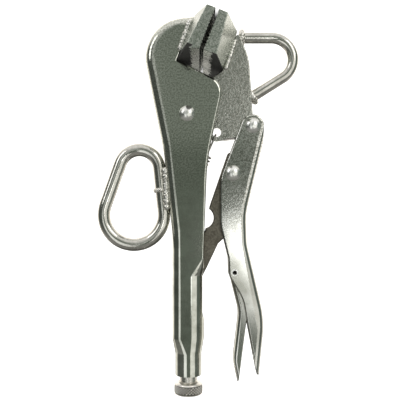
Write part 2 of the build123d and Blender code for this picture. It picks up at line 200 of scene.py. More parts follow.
print("shade:", round(2 * SHADE_REACH[0] / MM), "by", round(2 * SHADE_REACH[1] / MM), "mm")

# %% Floor and backdrop
FLOOR_WIDTH = 4.0
FLOOR_GAP = 0.2 * MM
FLOOR_GLOW = 0.9
BACKDROP_GLOW = 1.0
BACKDROP_RADIUS = 0.95 * FLOOR_WIDTH / 2


def staged(name, mesh, material):
    """A piece of the studio, which the metal doesn't mirror."""
    mesh.materials.append(material)
    piece = bpy.data.objects.new(name, mesh)
    bpy.context.collection.objects.link(piece)
    piece.visible_glossy = False
    return piece


def make_floor():
    half = FLOOR_WIDTH / 2
    low = cad_box[0][2] - FLOOR_GAP
    mesh = bpy.data.meshes.new("floor")
    corners = [(-half, -half, low), (half, -half, low), (half, half, low), (-half, half, low)]
    mesh.from_pydata(corners, [], [(0, 1, 2, 3)])
    material = pale_material("pale_floor", FLOOR_GLOW)
    shaded(material, FLOOR_GLOW)
    staged("floor", mesh, material)


def make_backdrop():
    """A dome round the floor that only the camera sees."""
    mesh = bpy.data.meshes.new("backdrop")
    work = bmesh.new()
    bmesh.ops.create_icosphere(work, subdivisions=4, radius=BACKDROP_RADIUS)
    bmesh.ops.reverse_faces(work, faces=work.faces)
    work.to_mesh(mesh)
    work.free()
    dome = staged("backdrop", mesh, pale_material("pale_backdrop", BACKDROP_GLOW))
    dome.visible_diffuse = False
    dome.visible_shadow = False


make_floor()
make_backdrop()
print("floor:", FLOOR_WIDTH, "m wide, with a dome of", BACKDROP_RADIUS, "m round it")

# %% [markdown]
# ## Room
# Plated steel shows little of its own: it shows the room. A photographed room would do, but a
# few plain directions are enough and can be tuned one by one. The room is dark overhead and on
# the left, dull on the right and in front, bright behind the jaws and pale underneath, but dark
# again low in front. So plates that face the camera look grey-green, and every round edge is
# drawn by a dark and a bright line. Each direction is one Dot Product, which says how far a ray
# points that way.

# %% Room
ROOM_BASE = (0.085, 0.095, 0.085, 1)
ROOM_SIDES = (
    # toward, from this cosine, to this one, colour
    ((1, 0, 0), -0.3, 0.4, (0.14, 0.165, 0.145, 1)),
    ((0, -1, 0), 0.2, 0.6, (0.27, 0.27, 0.255, 1)),
    ((0, 1, 0), 0.40, 0.75, (0.95, 0.94, 0.92, 1)),
    ((0, 0, 1), 0.80, 1.0, (0.125, 0.145, 0.12, 1)),
    ((0, 0, -1), 0.15, 0.60, (1.45, 1.38, 1.29, 1)),
    ((0, -0.75, -0.66), 0.60, 0.85, (0.13, 0.13, 0.12, 1)),
)


def make_room():
    world = bpy.data.worlds.new("room")
    bpy.context.scene.world = world
    world.use_nodes = True
    tree = world.node_tree
    ray = add_node(tree, "ShaderNodeTexCoord").outputs["Generated"]
    colour = ROOM_BASE
    for toward, start, end, side_colour in ROOM_SIDES:
        along = vector_maths(tree, "DOT_PRODUCT", ray, toward)
        colour = colour_mix(tree, ramp(tree, along, start, end), colour, side_colour)
    background = tree.nodes["Background"]
    fill(tree, background.inputs["Color"], colour)
    fill(tree, background.inputs["Strength"], 1.0)


make_room()
print("room:", len(ROOM_SIDES), "directions")

# %% [markdown]
# ## Lamps and boards
# White boards hang level over the tool, as a product photographer hangs them: one makes the
# lever's middle flash white, a dimmer one beside it lets the flash die away softly, and the wide
# ones left and right draw the long light lines on the rods and the tube. A board is a lamp whose
# power follows from its size, so that it looks equally bright however large it is. Two lamps
# lower down light the welds and the pads' backs, and one more lights only what isn't metal.

# %% Lamps and boards
BOARD_HEIGHT = 1.0
WHITE = (1, 1, 1)
WARM = (1, 0.97, 0.94)
GREENISH = (0.94, 1, 0.92)
BOARDS = (
    # name, left, right, low and high edge in metres, radiance, tint
    ("near_board", 0.056, 0.16, -0.238, -0.146, 4.4, WHITE),
    ("near_lower_board", 0.056, 0.16, -0.345, -0.238, 1.5, WHITE),
    ("right_board", 0.16, 1.40, -0.75, 0.35, 0.85, WARM),
    ("left_strip", -0.62, -0.135, -0.9, -0.15, 0.9, WHITE),
    ("left_upper_strip", -0.62, -0.135, -0.15, 0.7, 0.35, WHITE),
    ("upper_board", -0.30, 0.30, 0.02, 0.60, 0.10, GREENISH),
)


def lamp(name, place, size, radiance, tint=WHITE):
    """A rectangular lamp that faces straight down, as bright as its radiance says."""
    light = bpy.data.lights.new(name, "AREA")
    light.shape = "RECTANGLE"
    light.size, light.size_y = size
    light.energy = radiance * math.pi * size[0] * size[1]
    light.color = tint
    piece = bpy.data.objects.new(name, light)
    piece.location = place
    bpy.context.collection.objects.link(piece)
    return piece


def facing(piece):
    """Turns a lamp to face the tool."""
    aim = VIEW_CENTRE - piece.location
    piece.rotation_euler = aim.to_track_quat("-Z", "Y").to_euler()


for name, left, right, low, high, radiance, tint in BOARDS:
    middle = ((left + right) / 2, (low + high) / 2, BOARD_HEIGHT)
    lamp(name, middle, (right - left, high - low), radiance, tint)
facing(lamp("upper_right_lamp", (0.75, 0.55, 0.85), (0.6, 0.6), 2.4, WARM))
facing(lamp("upper_left_lamp", (-0.95, 0.50, 0.60), (0.7, 0.5), 1.8))
lamp("floor_lamp", (0, -0.1, 1.6), (3.6, 3.6), 0.5).visible_glossy = False

# %% [markdown]
# ## Plated finishes
# Nickel plating follows what is under it: smooth sheet, blasted sheet, forged or sawn steel,
# drawn rod, weld metal. Each could have its own tree, but all are one idea with different
# numbers: metal whose tone wanders over some millimetres, whose gloss wanders with it, and whose
# skin has a fine grain. The grain is real height, so it goes through a Bump node. Hands polish
# the lower ends of the handle and the lever, so on those two finishes the grain fades out along
# the tool. Patterns read Object coordinates, in metres, so a pattern's scale is 1 / size.

# %% One plated finish
CLOUD_DETAIL = 5.0
CLOUD_SPAN = (0.35, 0.70)
GRAIN_DETAIL = 3.0
GRAIN_SPAN = (0.40, 0.62)
POLISH_FADE = 14.0


def noise(tree, place, size, detail):
    """Random patches of a size in mm."""
    inputs = {"Vector": place, "Scale": 1 / (size * MM), "Detail": detail}
    return add_node(tree, "ShaderNodeTexNoise", inputs).outputs["Fac"]


def plated(
    name, light, dark, gloss, grain_size, grain_depth, speckle=0.5, cloud_size=9.0, polished=None
):
    """Nickel plating: tones light and dark, roughness from gloss[0] to gloss[1], sizes in mm.
    Below the height polished, along the tool, the grain fades out."""
    material = bpy.data.materials.new(name)
    material.use_nodes = True
    tree = material.node_tree
    place = add_node(tree, "ShaderNodeTexCoord").outputs["Object"]
    cloud = ramp(tree, noise(tree, place, cloud_size, CLOUD_DETAIL), *CLOUD_SPAN)
    grain = noise(tree, place, grain_size, GRAIN_DETAIL)
    fleck = ramp(tree, grain, *GRAIN_SPAN)
    share = speckle
    strength = 1.0
    if polished is not None:
        height = add_node(tree, "ShaderNodeSeparateXYZ", {0: place}).outputs["Y"]
        fade = ((polished - POLISH_FADE) * MM, (polished + POLISH_FADE) * MM)
        share = ramp(tree, height, *fade, high=speckle)
        strength = share
    both = add_node(tree, "ShaderNodeMix", {"Factor": share, "A": cloud, "B": fleck}).outputs["Result"]
    skin = {"Strength": strength, "Distance": grain_depth * MM, "Height": grain}
    shader = tree.nodes["Principled BSDF"]
    fill(tree, shader.inputs["Metallic"], 1.0)
    fill(tree, shader.inputs["Base Color"], colour_mix(tree, both, (*light, 1), (*dark, 1)))
    fill(tree, shader.inputs["Roughness"], ramp(tree, cloud, 0.0, 1.0, *gloss))
    fill(tree, shader.inputs["Normal"], add_node(tree, "ShaderNodeBump", skin).outputs[0])
    return material


print("a plated finish has a cloud, a grain and a fade of", 2 * POLISH_FADE, "mm")

# %% All the finishes
LOOKS = {
    "plated_sheet": dict(
        light=(0.72, 0.73, 0.665), dark=(0.42, 0.43, 0.375), gloss=(0.08, 0.13),
        grain_size=1.0, grain_depth=0.03, speckle=0.85, polished=-92,
    ),
    "grained_sheet": dict(
        light=(0.80, 0.80, 0.76), dark=(0.34, 0.34, 0.30), gloss=(0.11, 0.17),
        grain_size=0.9, grain_depth=0.018, speckle=0.85, cloud_size=40.0, polished=-108,
    ),
    "plated_forging": dict(
        light=(0.64, 0.64, 0.60), dark=(0.34, 0.34, 0.30), gloss=(0.12, 0.20),
        grain_size=0.9, grain_depth=0.16, speckle=0.8,
    ),
    "plated_pad": dict(
        light=(0.62, 0.64, 0.59), dark=(0.24, 0.28, 0.23), gloss=(0.22, 0.32),
        grain_size=0.8, grain_depth=0.12, speckle=0.8,
    ),
    "plated_rod": dict(
        light=(0.72, 0.71, 0.66), dark=(0.46, 0.45, 0.41), gloss=(0.10, 0.20),
        grain_size=1.6, grain_depth=0.02, speckle=0.3,
    ),
    "weld_bead": dict(
        light=(0.90, 0.89, 0.85), dark=(0.44, 0.43, 0.38), gloss=(0.12, 0.30),
        grain_size=0.7, grain_depth=0.12, cloud_size=1.5,
    ),
    "bright_rivet": dict(
        light=(0.92, 0.92, 0.89), dark=(0.78, 0.78, 0.74), gloss=(0.24, 0.32),
        grain_size=1.2, grain_depth=0.02, speckle=0.2,
    ),
    "dark_link": dict(
        light=(0.20, 0.185, 0.15), dark=(0.10, 0.092, 0.072), gloss=(0.30, 0.45),
        grain_size=0.9, grain_depth=0.15, speckle=0.7,
    ),
    "spring_steel": dict(
        light=(0.36, 0.36, 0.33), dark=(0.24, 0.24, 0.22), gloss=(0.28, 0.40),
        grain_size=0.8, grain_depth=0.02,
    ),
    "screw_steel": dict(
        light=(0.80, 0.78, 0.73), dark=(0.60, 0.58, 0.53), gloss=(0.20, 0.30),
        grain_size=0.6, grain_depth=0.02,
    ),
    "knurled_steel": dict(
        light=(0.86, 0.84, 0.79), dark=(0.66, 0.64, 0.59), gloss=(0.24, 0.32),
        grain_size=0.6, grain_depth=0.02, speckle=0.3,
    ),
}

finishes = {slot: plated(slot, **look) for slot, look in LOOKS.items()}
for subpart in frame["record"]["subparts"]:
    mesh = nodes[subpart["node"]].data
    mesh.materials.clear()
    mesh.materials.append(finishes[subpart["material_slot"]])
print("finishes:", ", ".join(finishes))

# %% [markdown]
# ## Painted shade on the pads and the pin
# The pads were sawn from bar and welded on. Their heels behind the mouth lie in shade, and so
# does the narrow mouth between them, so painted shade blackens both, the heels with a ragged
# border. The small pin of the release lever gets painted shade in its dimple. These marks could
# be painted on a UV map, but they lie where the shape says, so each is a share worked out from
# Object coordinates and mixed into the finish: the distance along the mouth, across it, or from
# the pin. The painted shade on the pads has no metal shine, so their Metallic and Roughness
# follow the same share.

# %% Painted shade on the pads and the pin
HEEL_ALONG = -11.8
HEEL_FADE = 0.3
HEEL_BACK = 5.5
HEEL_RAGGED = 7.0
HEEL_BORDER = 0.6
RAGGED_SIZE = 1.6
RAGGED_DETAIL = 2.0
# painted shade along the mouth: none this far across the mouth and full this close, in mm
MOUTH_PAINTED_SHADE = (1.45, 1.15)
# the black of the painted shade on the heels and in the mouth
PAINTED_SHADE_BLACK = (0.025, 0.025, 0.022, 1)
PIN_SPOT = (1.9, 0.9)
# the colour of the painted shade in the release pin's dimple
PIN_PAINTED_SHADE = (0.03, 0.03, 0.025, 1)
PIN_LOW, PIN_HIGH = [Vector(corner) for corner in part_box("release_pin")]


def darkened(material, share, colour):
    """Mixes a dark colour, painted shade, into a finish's tone."""
    tree = material.node_tree
    base = tree.nodes["Principled BSDF"].inputs["Base Color"]
    fill(tree, base, colour_mix(tree, share, base.links[0].from_socket, colour))


def painted_heel_and_mouth_shade(material):
    """Paints shade black on the pads' heels behind the mouth, with a ragged border, and in the mouth."""
    tree = material.node_tree
    shader = tree.nodes["Principled BSDF"]
    place = add_node(tree, "ShaderNodeTexCoord").outputs["Object"]
    up_mouth = (math.sin(MOUTH_LEAN), math.cos(MOUTH_LEAN), 0)
    over_mouth = (math.cos(MOUTH_LEAN), -math.sin(MOUTH_LEAN), 0)
    along = vector_maths(tree, "DOT_PRODUCT", place, up_mouth)
    aside = maths(tree, "ABSOLUTE", vector_maths(tree, "DOT_PRODUCT", place, over_mouth))
    ragged = noise(tree, place, RAGGED_SIZE, RAGGED_DETAIL)
    border = maths(tree, "MULTIPLY_ADD", ragged, HEEL_RAGGED * MM, aside)
    back = HEEL_BACK + HEEL_RAGGED / 2
    below = ramp(tree, along, HEEL_ALONG * MM, (HEEL_ALONG - HEEL_FADE) * MM)
    behind = ramp(tree, border, back * MM, (back + HEEL_BORDER) * MM)
    mouth = ramp(tree, aside, MOUTH_PAINTED_SHADE[0] * MM, MOUTH_PAINTED_SHADE[1] * MM)
    black = maths(tree, "MAXIMUM", maths(tree, "MULTIPLY", below, behind), mouth)
    # paints the shade black into the pads' tone
    darkened(material, black, PAINTED_SHADE_BLACK)
    # the painted shade has no metal shine, so it stays dark
    fill(tree, shader.inputs["Metallic"], maths(tree, "SUBTRACT", 1.0, black))
    gloss = shader.inputs["Roughness"].links[0].from_socket
    fill(tree, shader.inputs["Roughness"], maths(tree, "MAXIMUM", gloss, black))


def spotted(material, centre, spot):
    """Darkens a round spot on the plates with painted shade, from the radius spot[0] in to spot[1]."""
    tree = material.node_tree
    place = add_node(tree, "ShaderNodeTexCoord").outputs["Object"]
    level = vector_maths(tree, "MULTIPLY", vector_maths(tree, "SUBTRACT", place, centre), (1, 1, 0))
    away = vector_maths(tree, "LENGTH", level)
    darkened(material, ramp(tree, away, spot[0] * MM, spot[1] * MM), PIN_PAINTED_SHADE)


# painted shade in the release pin's dimple
spotted(finishes["bright_rivet"], (PIN_LOW + PIN_HIGH) / 2, PIN_SPOT)
painted_heel_and_mouth_shade(finishes["plated_pad"])
print("marks: black heels and mouth on plated_pad, a dark spot on bright_rivet")

# %% [markdown]
# ## Softened edges
# A blanked plate and a milled block have no knife edges: each edge is rounded by some tenths
# of a millimetre, and that narrow round draws a bright line in a studio. The solids have sharp
# edges here, so each of these pieces is copied, merged into one mesh and freed of the
# triangulation's flat edges. A Bevel modifier then rounds the edges that are marked for it: a
# plate's are those between its flat face and the cut through the sheet, a block's are its long
# ones. Weighted Normal keeps the flat faces flat beside the narrow rounds.

# %% Pieces that stand for solids
def body_of_node(node):
    return next(body for body, held in frame["record"]["behaviour"]["bodies"].items() if node in held)


def slot_of_node(node):
    return next(s["material_slot"] for s in frame["record"]["subparts"] if s["node"] == node)


def takes_place(piece, *solids):
    """Lets a finished piece stand for solids of one body, with their finish."""
    piece.data.materials.clear()
    piece.data.materials.append(finishes[slot_of_node(solids[0])])
    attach(piece, body_of_node(solids[0]))
    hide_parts(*solids)


def baked(piece):
    """Turns a piece's modifiers into its mesh."""
    shape = bpy.context.evaluated_depsgraph_get()
    mesh = bpy.data.meshes.new_from_object(piece.evaluated_get(shape))
    piece.modifiers.clear()
    piece.data = mesh
    mesh.name = piece.name


print("the handle's pieces ride on:", body_of_node("fixed_handle"))

# %% Edges to round
TOP_SLACK = 0.01 * MM
# how much of a face's normal may, or has to, point along Z or Y
UPRIGHT_MOST = 0.3
LEVEL_LEAST = 0.99
SQUARE_LEAST = 0.9999
PIN_CLEAR = 0.6
MILLED_LENGTH = 4 * MM


def blanked(edge, top):
    """True for an edge between a plate's outer face and the cut through its sheet, but not for
    a square step across the handle, where the rounding has nowhere to end, and not for the hole
    of the flush release pin."""
    outer = all(abs(vert.co.z) > top - TOP_SLACK for vert in edge.verts)
    upright, level = sorted(abs(face.normal.z) for face in edge.link_faces)
    square = max(abs(face.normal.y) for face in edge.link_faces) > SQUARE_LEAST
    from_pin = (edge.verts[0].co - (PIN_LOW + PIN_HIGH) / 2).xy.length
    pin_hole = from_pin < PIN_CLEAR * (PIN_HIGH.x - PIN_LOW.x)
    cut = upright < UPRIGHT_MOST and level > LEVEL_LEAST
    return outer and cut and not square and not pin_hole


def milled(edge, top):
    """True for a block's long edges and not for those of its teeth."""
    return edge.calc_length() > MILLED_LENGTH


print("edges to round:", blanked.__name__, "on plates and", milled.__name__, "on blocks")

# %% Softened edges
FLAT_ANGLE = math.radians(1.0)
CORNER_ANGLE = math.radians(40)
MERGE_DISTANCE = 0.002 * MM
BEVEL_STEPS = 3
FLAT_WEIGHT = 100


def marked_copy(name, solid, chosen):
    """A merged copy of a solid's mesh whose chosen corners are marked for the bevel."""
    mesh = nodes[solid].data.copy()
    mesh.name = name
    work = bmesh.new()
    work.from_mesh(mesh)
    bmesh.ops.remove_doubles(work, verts=work.verts, dist=MERGE_DISTANCE)
    bmesh.ops.dissolve_limit(work, angle_limit=FLAT_ANGLE, verts=work.verts, edges=work.edges)
    marks = work.edges.layers.float.new("bevel_weight_edge")
    top = max(vert.co.z for vert in work.verts)
    for edge in work.edges:
        if len(edge.link_faces) == 2 and edge.calc_face_angle() > CORNER_ANGLE and chosen(edge, top):
            edge[marks] = 1.0
    work.to_mesh(mesh)
    work.free()
    return mesh


def softened(name, solid, rounding, chosen):
    """A copy of a solid whose chosen corners are rounded, rounding in mm."""
    mesh = marked_copy(name, solid, chosen)
    piece = bpy.data.objects.new(name, mesh)
    bpy.context.collection.objects.link(piece)
    bevel = piece.modifiers.new("corner rounding", "BEVEL")
    bevel.limit_method = "WEIGHT"
    bevel.width = rounding * MM
    bevel.segments = BEVEL_STEPS
    bevel.use_clamp_overlap = False
    mesh.shade_smooth()
    mesh.set_sharp_from_angle(angle=CORNER_ANGLE)
    flats = piece.modifiers.new("flat faces stay flat", "WEIGHTED_NORMAL")
    flats.weight = FLAT_WEIGHT
    flats.keep_sharp = True
    baked(piece)
    takes_place(piece, solid)
    print(name, len(piece.data.polygons), "faces")


softened("handle_channel", "fixed_handle", 1.3, blanked)
softened("lever_channel", "lever_handle", 1.0, blanked)
softened("release_trigger", "release_lever", 0.4, blanked)
softened("left_pad", "fixed_jaw_pad", 0.35, milled)
softened("right_pad", "moving_jaw_pad", 0.35, milled)

# %% [markdown]
# ## Trees that follow a line
# Three things on this tool follow a line: the spring's wire and the screw's thread, which are a
# round section swept along it, and a weld, which is a row of overlapping drops laid along it.
# They could be curves with a bevel, one object each. A Geometry Nodes tree is written once and
# takes any chain of points, with the sizes as its inputs, so there is one tree for wires and
# one for welds. Each ends in Realize Instances and Set Material, and what it grows is baked.

# %% Tree helpers
def new_tree(name, sizes):
    """An empty tree with geometry in and out and the named inputs, given as (name, kind)."""
    tree = bpy.data.node_groups.new(name, "GeometryNodeTree")
    tree.interface.new_socket("Geometry", in_out="INPUT", socket_type="NodeSocketGeometry")
    for label, kind in sizes:
        tree.interface.new_socket(label, in_out="INPUT", socket_type="NodeSocket" + kind)
    tree.interface.new_socket("Geometry", in_out="OUTPUT", socket_type="NodeSocketGeometry")
    given = tree.nodes.new("NodeGroupInput").outputs
    return tree, given


def finish_tree(tree, given, geometry):
    """Realize Instances and Set Material, which every tree ends in."""
    plain = add_node(tree, "GeometryNodeRealizeInstances", {0: geometry})
    coat = {"Geometry": plain.outputs[0], "Material": given["Finish"]}
    coated = add_node(tree, "GeometryNodeSetMaterial", coat)
    add_node(tree, "NodeGroupOutput", {"Geometry": coated.outputs[0]})


def grown(name, tree, mesh, sizes):
    """Runs a tree on a mesh and keeps the result as a plain piece."""
    piece = bpy.data.objects.new(name, mesh)
    bpy.context.collection.objects.link(piece)
    modifier = piece.modifiers.new(tree.name, "NODES")
    modifier.node_group = tree
    for socket in tree.interface.items_tree:
        if socket.in_out == "INPUT" and socket.name in sizes:
            modifier[socket.identifier] = sizes[socket.name]
    baked(piece)
    print(name, len(piece.data.polygons), "faces")
    return piece


def chain(name, *lines):
    """A mesh of open lines of points, in mm."""
    points = []
    edges = []
    for line in lines:
        first = len(points)
        points += [Vector(point) * MM for point in line]
        edges += [(first + i, first + i + 1) for i in range(len(line) - 1)]
    mesh = bpy.data.meshes.new(name)
    mesh.from_pydata(points, edges, [])
    return mesh


print("tree helpers:", ", ".join(f.__name__ for f in (new_tree, finish_tree, grown, chain)))

# %% Wire tree
def make_wire_tree():
    sizes = [("Wire radius", "Float"), ("Sides", "Int"), ("Finish", "Material")]
    tree, given = new_tree("round_wire", sizes)
    line = add_node(tree, "GeometryNodeMeshToCurve", {"Mesh": given["Geometry"]})
    section = {"Resolution": given["Sides"], "Radius": given["Wire radius"]}
    circle = add_node(tree, "GeometryNodeCurvePrimitiveCircle", section)
    path = {"Curve": line.outputs[0], "Profile Curve": circle.outputs[0], "Fill Caps": True}
    wire = add_node(tree, "GeometryNodeCurveToMesh", path)
    smooth = add_node(tree, "GeometryNodeSetShadeSmooth", {"Geometry": wire.outputs[0]})
    finish_tree(tree, given, smooth.outputs[0])
    return tree


wire_tree = make_wire_tree()
print("tree:", wire_tree.name, "with", len(wire_tree.nodes), "nodes")

# %% [markdown]
# ## Return spring
# A tension spring pulls the moving jaw open: a close coil with a long hook at each end, made
# of one wire. A Screw modifier would give the coil but not the hooks, so the chain is worked
# out turn by turn on the spring's own axis and then laid from the jaw's hole to the tab in the
# handle. The spring stretches when the jaw turns, but here it is laid once and follows neither
# body.

# %% Return spring
SPRING_TOP = Vector((4.51, -56.51, 0))
SPRING_FOOT = Vector((-17.25, -108.27, 0))
SPRING_RADIUS = 2.7
SPRING_WIRE = 1.2
SPRING_SIDES = 10
SPRING_TURNS = 14
SPRING_LEGS = (10.5, 8.4)
STEPS_PER_TURN = 16


def spring_line():
    reach = (SPRING_FOOT - SPRING_TOP).length
    along = (SPRING_FOOT - SPRING_TOP).normalized()
    aside = Vector((0, 0, 1))
    across = along.cross(aside)
    first = SPRING_RADIUS + SPRING_LEGS[0]
    last = reach - SPRING_RADIUS - SPRING_LEGS[1]
    hook = []
    for i in range(STEPS_PER_TURN // 2 + 1):
        turn = math.pi * (1 + i / (STEPS_PER_TURN / 2))
        hook.append((math.cos(turn), 0, SPRING_RADIUS * (1 + math.sin(turn))))
    coil = []
    steps = SPRING_TURNS * STEPS_PER_TURN
    for i in range(steps + 1):
        turn = 2 * math.pi * i / STEPS_PER_TURN
        coil.append((math.cos(turn), math.sin(turn), first + (last - first) * i / steps))
    far_hook = [(x, 0, reach - height) for x, _, height in reversed(hook)]
    return [
        SPRING_TOP + along * height + (aside * x + across * y) * SPRING_RADIUS
        for x, y, height in hook + coil + far_hook
    ]


spring_sizes = {
    "Wire radius": SPRING_WIRE / 2 * MM, "Sides": SPRING_SIDES, "Finish": finishes["spring_steel"],
}
spring = grown("spring_coil", wire_tree, chain("spring_coil", spring_line()), spring_sizes)
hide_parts("return_spring")
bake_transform(spring)

# %% [markdown]
# ## Weld tree
# A hand-laid weld is a row of drops that ran into each other, each a little larger or smaller
# than the last. A wavy tube would look like a tube. So the tree sets uneven spheres along the
# line, with a fixed seed, and melts them together: it fills them into a volume and takes the
# volume's skin, which joins them with soft hollows as the molten metal does.

# %% Weld tree
DROP_ROUNDS = 2
SKIN_THRESHOLD = 0.1


def make_weld_tree():
    sizes = [
        ("Drop radius", "Float"), ("Step", "Float"), ("Unevenness", "Float"), ("Grain", "Float"),
        ("Seed", "Int"), ("Finish", "Material"),
    ]
    tree, given = new_tree("weld_bead", sizes)
    line = add_node(tree, "GeometryNodeMeshToCurve", {"Mesh": given["Geometry"]})
    spacing = {"Curve": line.outputs[0], "Length": given["Step"]}
    points = add_node(tree, "GeometryNodeCurveToPoints", spacing, mode="LENGTH")
    ball = {"Radius": given["Drop radius"], "Subdivisions": DROP_ROUNDS}
    drop = add_node(tree, "GeometryNodeMeshIcoSphere", ball)
    spread = {
        "Min": maths(tree, "SUBTRACT", 1.0, given["Unevenness"]),
        "Max": maths(tree, "ADD", 1.0, given["Unevenness"]),
        "Seed": given["Seed"],
    }
    uneven = add_node(tree, "FunctionNodeRandomValue", spread, data_type="FLOAT")
    laid = {
        "Points": points.outputs["Points"], "Instance": drop.outputs["Mesh"],
        "Scale": uneven.outputs["Value"],
    }
    row = add_node(tree, "GeometryNodeInstanceOnPoints", laid)
    drops = add_node(tree, "GeometryNodeRealizeInstances", {0: row.outputs[0]})
    pool = {"Mesh": drops.outputs[0], "Voxel Size": given["Grain"]}
    melt = add_node(tree, "GeometryNodeMeshToVolume", pool, resolution_mode="VOXEL_SIZE")
    cooled = {"Volume": melt.outputs[0], "Voxel Size": given["Grain"], "Threshold": SKIN_THRESHOLD}
    skin = add_node(tree, "GeometryNodeVolumeToMesh", cooled, resolution_mode="VOXEL_SIZE")
    smooth = add_node(tree, "GeometryNodeSetShadeSmooth", {"Geometry": skin.outputs[0]})
    finish_tree(tree, given, smooth.outputs[0])
    return tree


weld_tree = make_weld_tree()
print("tree:", weld_tree.name, "with", len(weld_tree.nodes), "nodes")

# %% [markdown]
# ## Straight weld beads
# The pads are welded in the corners between their backs and the plates, on both sides of the
# tool, and the big ring along the handle's spine. The lines could be typed in, but a bead lies
# slantwise in the box of the solid that it stands for, so its line runs from corner to corner
# of that box, about one bead radius inside, and follows the solid if that moves.

# %% Straight weld beads
WELD_GRAIN = 0.28


def corner_beads(solid, inside, falls=False):
    """Two straight lines, on the tool's two sides, across the box of a solid, in mm."""
    low, high = [Vector(point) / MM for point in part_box(solid)]
    ends = [(low.x + inside, high.x - inside), (low.y + inside, high.y - inside)]
    if falls:
        ends[1] = ends[1][::-1]
    return [
        [(x, y, side * (high.z - inside)) for x, y in zip(*ends)]
        for side in (-1, 1)
    ]


def weld(name, solid, lines, radius, step, uneven, seed):
    sizes = {
        "Drop radius": radius * MM, "Step": step * MM, "Unevenness": uneven,
        "Grain": WELD_GRAIN * MM, "Seed": seed, "Finish": finishes["weld_bead"],
    }
    takes_place(grown(name, weld_tree, chain(name, *lines), sizes), solid)


left_lines = corner_beads("fixed_pad_welds", inside=2.4)
weld("left_pad_weld", "fixed_pad_welds", left_lines, radius=2.2, step=1.7, uneven=0.16, seed=3)
right_lines = corner_beads("moving_pad_welds", inside=2.4)
weld("right_pad_weld", "moving_pad_welds", right_lines, radius=2.2, step=1.7, uneven=0.16, seed=5)
spine_lines = corner_beads("handle_ring_welds", inside=2.8, falls=True)
weld("spine_weld", "handle_ring_welds", spine_lines, radius=2.5, step=1.6, uneven=0.2, seed=8)

# %% [markdown]
# ## Round weld beads
# The big ring is a bent rod whose ends meet in a butt weld, and the small ring's two feet are
# welded to the jaw's back. These beads go round a rod, so their lines are circles round it, a
# little outside the rod's skin at the feet and a little inside it at the ground-off seam.

# %% Round weld beads
JAW_ROD = 6.9
JAW_RING_FEET = (
    # middle of the rod's end, way that it points
    (Vector((19.4, 4.4, 0)), Vector((-1, 0, 0))),
    (Vector((26.4, -33.3, 0)), Vector((-0.848, -0.530, 0))),
)
FOOT_BACK = 1.4
FOOT_OUT = 0.2
HANDLE_ROD = 8.0
SEAM_RISE = 1.2
SEAM_SUNK = 0.4
SEAM_WAY = Vector((0.1034, -0.9946, 0))
ROUND_STEPS = 24


def round_line(centre, way, radius):
    """A closed circle of points round a rod, in mm."""
    aside = Vector((0, 0, 1))
    across = way.normalized().cross(aside)
    turns = [2 * math.pi * i / ROUND_STEPS for i in range(ROUND_STEPS + 1)]
    return [centre + (across * math.cos(t) + aside * math.sin(t)) * radius for t in turns]


feet = [
    round_line(foot - way * FOOT_BACK, way, JAW_ROD / 2 + FOOT_OUT) for foot, way in JAW_RING_FEET
]
weld("ring_feet_weld", "jaw_ring_welds", feet, radius=2.0, step=2.2, uneven=0.2, seed=11)
low, high = [Vector(point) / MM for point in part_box("handle_ring_seam")]
seam_centre = Vector((low.x + HANDLE_ROD / 2 + SEAM_RISE, (low.y + high.y) / 2, 0))
seam = round_line(seam_centre, SEAM_WAY, HANDLE_ROD / 2 - SEAM_SUNK)
weld("ring_seam_weld", "handle_ring_seam", [seam], radius=1.6, step=1.8, uneven=0.12, seed=13)

# %% [markdown]
# ## Screw thread
# The screw's thread is a ridge wound on a core, one turn every 1.5 mm, and it ends in a plain
# neck just above the tube's end. A picture of stripes would do from afar, but the thread shows
# against the light when the screw is turned out. So the ridge is a helix that the wire tree
# sweeps, set half into a turned core. The core is a profile turned round the screw's axis.

# %% Turned pieces
TURNED_MERGE = 0.001 * MM
low, high = [Vector(point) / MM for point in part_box("adjusting_screw")]
SCREW_X = (low.x + high.x) / 2
screw_radius = (high.x - low.x) / 2


def turned(name, profile, steps):
    """A piece with a closed (radius, y) profile turned round the screw's axis, in mm."""
    work = bmesh.new()
    rings = []
    for i in range(steps):
        turn = 2 * math.pi * i / steps
        rings.append([
            work.verts.new(Vector((SCREW_X + r * math.cos(turn), y, r * math.sin(turn))) * MM)
            for r, y in profile
        ])
    for ring, following in zip(rings, rings[1:] + rings[:1]):
        for k in range(len(profile)):
            after = (k + 1) % len(profile)
            work.faces.new((ring[k], ring[after], following[after], following[k]))
    bmesh.ops.remove_doubles(work, verts=work.verts, dist=TURNED_MERGE)
    bmesh.ops.recalc_face_normals(work, faces=work.faces)
    mesh = bpy.data.meshes.new(name)
    work.to_mesh(mesh)
    work.free()
    piece = bpy.data.objects.new(name, mesh)
    bpy.context.collection.objects.link(piece)
    return piece


def joined_pieces(name, first, *others):
    """Joins pieces into the first one."""
    bpy.ops.object.select_all(action="DESELECT")
    for piece in (first, *others):
        piece.select_set(True)
    bpy.context.view_layer.objects.active = first
    bpy.ops.object.join()
    first.name = name
    return first


print("screw:", round(2 * screw_radius, 2), "mm thick and", round(high.y - low.y, 1), "mm long")

# %% Screw thread
THREAD_PITCH = 1.5
THREAD_DEPTH = 0.8
THREAD_STEPS = 24
THREAD_SIDES = 8
THREAD_START = 2.5
RIDGE_CENTRE = 0.25 * THREAD_DEPTH
RIDGE_RADIUS = 0.72 * THREAD_DEPTH
TIP_CHAMFER = 1.2
NECK_RISE = 1.0
NECK_CHAMFER = 0.6
CORE_SIDES = 32

